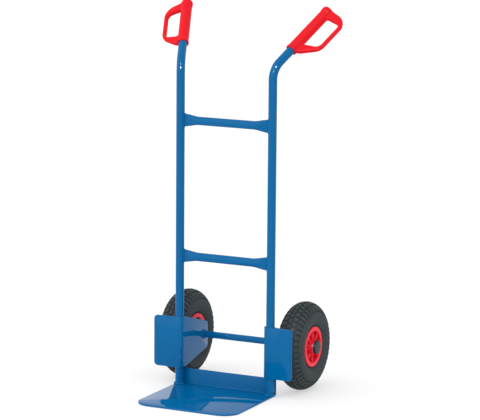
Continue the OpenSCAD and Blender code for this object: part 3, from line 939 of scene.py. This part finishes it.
class TRUCK_OT_tyres(bpy.types.Operator):
    """Mould the two tyres with their block tread"""
    bl_idname = "truck.tyres"
    bl_label = "Tyres"

    # Section angle from the crown in degrees, and the turn of the pattern there in pitches
    CENTRE = [(-8, -0.13), (-4, 0.0), (0, 0.13), (4, 0.0), (8, -0.13)]
    MIDDLE = [(11.5, -0.02), (16, 0.10), (21, 0.22), (26, 0.10), (31, -0.02)]
    SHOULDER = [(34.5, 0.14), (39, 0.07), (44, 0.02), (49, 0.0), (54, 0.0),
                (59, 0.04), (63.5, 0.10), (67, 0.15)]
    COLUMNS = 8
    # Width of a block's slanted side and of its rounded edge
    SLANT = 0.0005
    EDGE = 0.0006

    def section(self):
        """The rows of the tread as (angle, turn) from one edge to the other."""
        half = self.MIDDLE + self.SHOULDER
        return [(-a, turn) for a, turn in reversed(half)] + self.CENTRE + half

    def wall(self):
        """Sidewall from the tread's edge down to the bead, as (angle, radius)."""
        full = SECTION_R
        return [(69, full - 0.0022), (71.5, full - 0.0006), (73.5, full - 0.0002), (77, full),
                (82, full), (84, full), (85, full + 0.0004), (87, full + 0.0004),
                (88, full), (96, full), (104, full), (112, full), (118, full - 0.0001),
                (119.5, full + 0.0007), (122.5, full + 0.0007), (124, full - 0.0002),
                (130, full - 0.0004), (136, full - 0.0002)]

    def build(self, w):
        ring_r = TYRE_R - SECTION_R
        base = SECTION_R - w.tread_depth
        tread = self.section()
        wall = self.wall()

        def point(angle, radius):
            a = math.radians(angle)
            return Vector((radius * math.sin(a), 0, ring_r + radius * math.cos(a)))

        seat = w.seat_radius + 0.0001
        bead = w.rim_half_width - w.rim_wall
        outer = [point(-a, r) for a, r in reversed(wall)]
        outer += [point(a, base) for a, _ in tread]
        outer += [point(a, r) for a, r in wall]
        cavity = SECTION_R - w.tyre_wall
        lip = bead - 0.008
        inner = [Vector((bead, 0, seat + 0.004)), Vector((bead, 0, seat)), Vector((lip, 0, seat))]
        inner += [point(a, cavity) for a in range(140, -141, -10)]
        inner += [Vector((-lip, 0, seat)), Vector((-bead, 0, seat)),
                  Vector((-bead, 0, seat + 0.004))]
        bm = bmesh.new()
        verts = [bm.verts.new(p) for p in outer + inner]
        for a, b in zip(verts, verts[1:] + verts[:1]):
            bm.edges.new((a, b))
        count = w.pitches * self.COLUMNS
        bmesh.ops.spin(bm, geom=bm.verts[:] + bm.edges[:], cent=(0, 0, 0), axis=(1, 0, 0),
                       angle=2 * math.pi, steps=count, use_merge=True)
        bmesh.ops.recalc_face_normals(bm, faces=bm.faces[:])

        def where(co):
            """Section angle and place around the tyre, in columns."""
            radius = math.hypot(co.y, co.z)
            around = math.atan2(-co.y, co.z) % (2 * math.pi)
            return (math.degrees(math.atan2(co.x, radius - ring_r)),
                    around / (2 * math.pi) * count,
                    math.hypot(co.x, radius - ring_r))

        # Each row of blocks: its two edges, its shift and its gap, both in columns
        rows = [(self.CENTRE[0][0], self.CENTRE[-1][0], 0, 2)]
        for sign in (-1, 1):
            for band, shift, gap in ((self.MIDDLE, 4, 2), (self.SHOULDER, 3 - 2 * sign, 3)):
                low, high = sorted((sign * band[0][0], sign * band[-1][0]))
                rows.append((low, high, shift, gap))
        blocks = []
        skin = 0.0004
        for face in bm.faces:
            angle, column, radius = where(face.calc_center_median())
            if radius < base - 3 * skin:
                continue
            for low, high, shift, gap in rows:
                place = (int(column) + shift) % self.COLUMNS
                if low < angle < high and place < self.COLUMNS - gap:
                    blocks.append(face)
        # The pattern is turned row by row into its zigzag
        pitch = 2 * math.pi / w.pitches
        turns = {}
        for vert in bm.verts:
            angle, _, radius = where(vert.co)
            if radius < base - skin:
                continue
            for row_angle, turn in tread:
                if turn and abs(angle - row_angle) < 0.3:
                    turns.setdefault(turn, []).append(vert)
        for turn, row in turns.items():
            bmesh.ops.rotate(bm, cent=(0, 0, 0), matrix=Matrix.Rotation(turn * pitch, 3, "X"),
                             verts=row)
        for width, rise in ((self.SLANT, w.tread_depth - self.SLANT), (self.EDGE, self.SLANT)):
            bmesh.ops.inset_region(bm, faces=blocks, thickness=width, depth=rise,
                                   use_even_offset=True, use_boundary=True)
        return bm

    def execute(self, context):
        w = settings().wheels
        for side, sign in SIDES.items():
            bm = self.build(w)
            bmesh.ops.scale(bm, vec=(sign, 1, 1), verts=bm.verts[:])
            move(bm, bm.verts[:], (sign * WHEEL_X, AXLE_Y, AXLE_Z))
            settle(bm, f"{side}_block_tyre", f"{side}_wheel", "tyre_rubber", [f"{side}_tyre"],
                   crease=32.0)
        return {"FINISHED"}


class TRUCK_OT_hub_caps(bpy.types.Operator):
    """Press the two hub caps"""
    bl_idname = "truck.hub_caps"
    bl_label = "Hub caps"

    def execute(self, context):
        height = CAP[1].x - CAP[0].x
        bore = AXLE_R + PRESS_GAP
        top = 0.0025
        for side, sign in SIDES.items():
            bm = turned([
                (0, bore, 0), (0, CAP_R, 0.0004), (height - 0.0009, CAP_R - 0.0002, 0.0016),
                (height, 0.50 * CAP_R, 0.004), (height, 0, 0),
                (height - top, 0, 0), (height - top, bore, 0)], 64, 6)
            move(bm, bm.verts[:], (CAP[0].x, AXLE_Y, AXLE_Z))
            to_side(bm, side)
            settle(bm, f"{side}_push_cap", "frame", "cap_grey", [f"{side}_hub_cap"])
        return {"FINISHED"}


class TRUCK_OT_small_parts(bpy.types.Operator):
    """Give the washers, spacers, bearings, bolts and valves their finishes"""
    bl_idname = "truck.small_parts"
    bl_label = "Small parts"

    def execute(self, context):
        worn = {
            "spacer": "zinc_steel", "washer": "zinc_steel", "bolts": "zinc_steel",
            "nuts": "zinc_steel", "rollers": "bearing_steel", "cage": "cage_plastic",
            "inner_tube": "tube_rubber", "valve": "brass", "valve_cap": "black_plastic",
        }
        for name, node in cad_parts.items():
            kind = [k for k in worn if name.endswith(k)]
            if not kind:
                continue
            node.data.materials.clear()
            node.data.materials.append(finish_of(worn[max(kind, key=len)]))
        return {"FINISHED"}


class TRUCK_OT_studio(bpy.types.Operator):
    """Set up the floor, the light and the camera"""
    bl_idname = "truck.studio"
    bl_label = "Studio"

    def execute(self, context):
        s = settings().studio
        scene = context.scene
        bm = bmesh.new()
        bmesh.ops.create_grid(bm, x_segments=1, y_segments=1, size=s.floor)
        move(bm, bm.verts[:], (0, 0, -s.floor_gap))
        mesh = bpy.data.meshes.new("studio_floor")
        bm.to_mesh(mesh)
        bm.free()
        floor = bpy.data.objects.new("studio_floor", mesh)
        mesh.materials.append(finish_of("studio_floor"))
        scene.collection.objects.link(floor)

        world = bpy.data.worlds.new("studio_sky")
        world.use_nodes = True
        sky = world.node_tree.nodes["Background"]
        sky.inputs["Color"].default_value = (1.0, 1.0, 1.0, 1.0)
        sky.inputs["Strength"].default_value = s.sky
        scene.world = world

        lamps = (("key", s.key, 70, (-0.36, -0.74, 0.58)),
                 ("upper_spark", s.spark, 7, (0.36, -0.72, 0.60)),
                 ("lower_spark", s.spark, 7, (0.30, -0.84, 0.38)))
        for name, strength, spread, source in lamps:
            light = bpy.data.lights.new(name, "SUN")
            light.energy = strength
            light.angle = math.radians(spread)
            lamp = bpy.data.objects.new(name, light)
            lamp.rotation_mode = "QUATERNION"
            lamp.rotation_quaternion = Vector(source).to_track_quat("Z", "Y")
            # The bare lights only make highlights
            lamp.visible_diffuse = name == "key"
            scene.collection.objects.link(lamp)

        camera = bpy.data.cameras.new("camera")
        camera.lens = s.lens
        camera.sensor_width = 36.0
        camera.shift_y = s.shift
        camera.clip_end = 200.0
        out = Vector((math.sin(s.azimuth) * math.cos(s.elevation),
                      -math.cos(s.azimuth) * math.cos(s.elevation), math.sin(s.elevation)))
        eye = bpy.data.objects.new("camera", camera)
        eye.matrix_world = (
            Matrix.Translation(Vector(s.target) + out * s.distance)
            @ (-out).to_track_quat("-Z", "Y").to_matrix().to_4x4()
            @ Matrix.Rotation(s.roll, 4, "Z"))
        scene.collection.objects.link(eye)
        scene.camera = eye
        scene.view_settings.view_transform = "Standard"
        return {"FINISHED"}


STEPS = (
    TRUCK_OT_uprights, TRUCK_OT_crossbars, TRUCK_OT_toe_plate, TRUCK_OT_brackets, TRUCK_OT_axle,
    TRUCK_OT_welds, TRUCK_OT_grips, TRUCK_OT_rims, TRUCK_OT_tyres, TRUCK_OT_hub_caps,
    TRUCK_OT_small_parts, TRUCK_OT_studio,
)


class TRUCK_PT_workshop(bpy.types.Panel):
    """Lists the steps that build the truck"""
    bl_idname = "TRUCK_PT_workshop"
    bl_label = "Sack truck"
    bl_space_type = "VIEW_3D"
    bl_region_type = "UI"
    bl_category = "Sack Truck"

    def draw(self, context):
        for step in STEPS:
            self.layout.operator(step.bl_idname)


CLASSES = (*SIZE_GROUPS.values(), TruckSettings, *STEPS, TRUCK_PT_workshop)


def register():
    for cls in CLASSES:
        bpy.utils.register_class(cls)
    bpy.types.Scene.sack_truck = PointerProperty(type=TruckSettings)


def unregister():
    del bpy.types.Scene.sack_truck
    for cls in reversed(CLASSES):
        bpy.utils.unregister_class(cls)


def main():
    register()
    for step in STEPS:
        group, name = step.bl_idname.split(".")
        getattr(getattr(bpy.ops, group), name)()


if __name__ == "__main__":
    main()
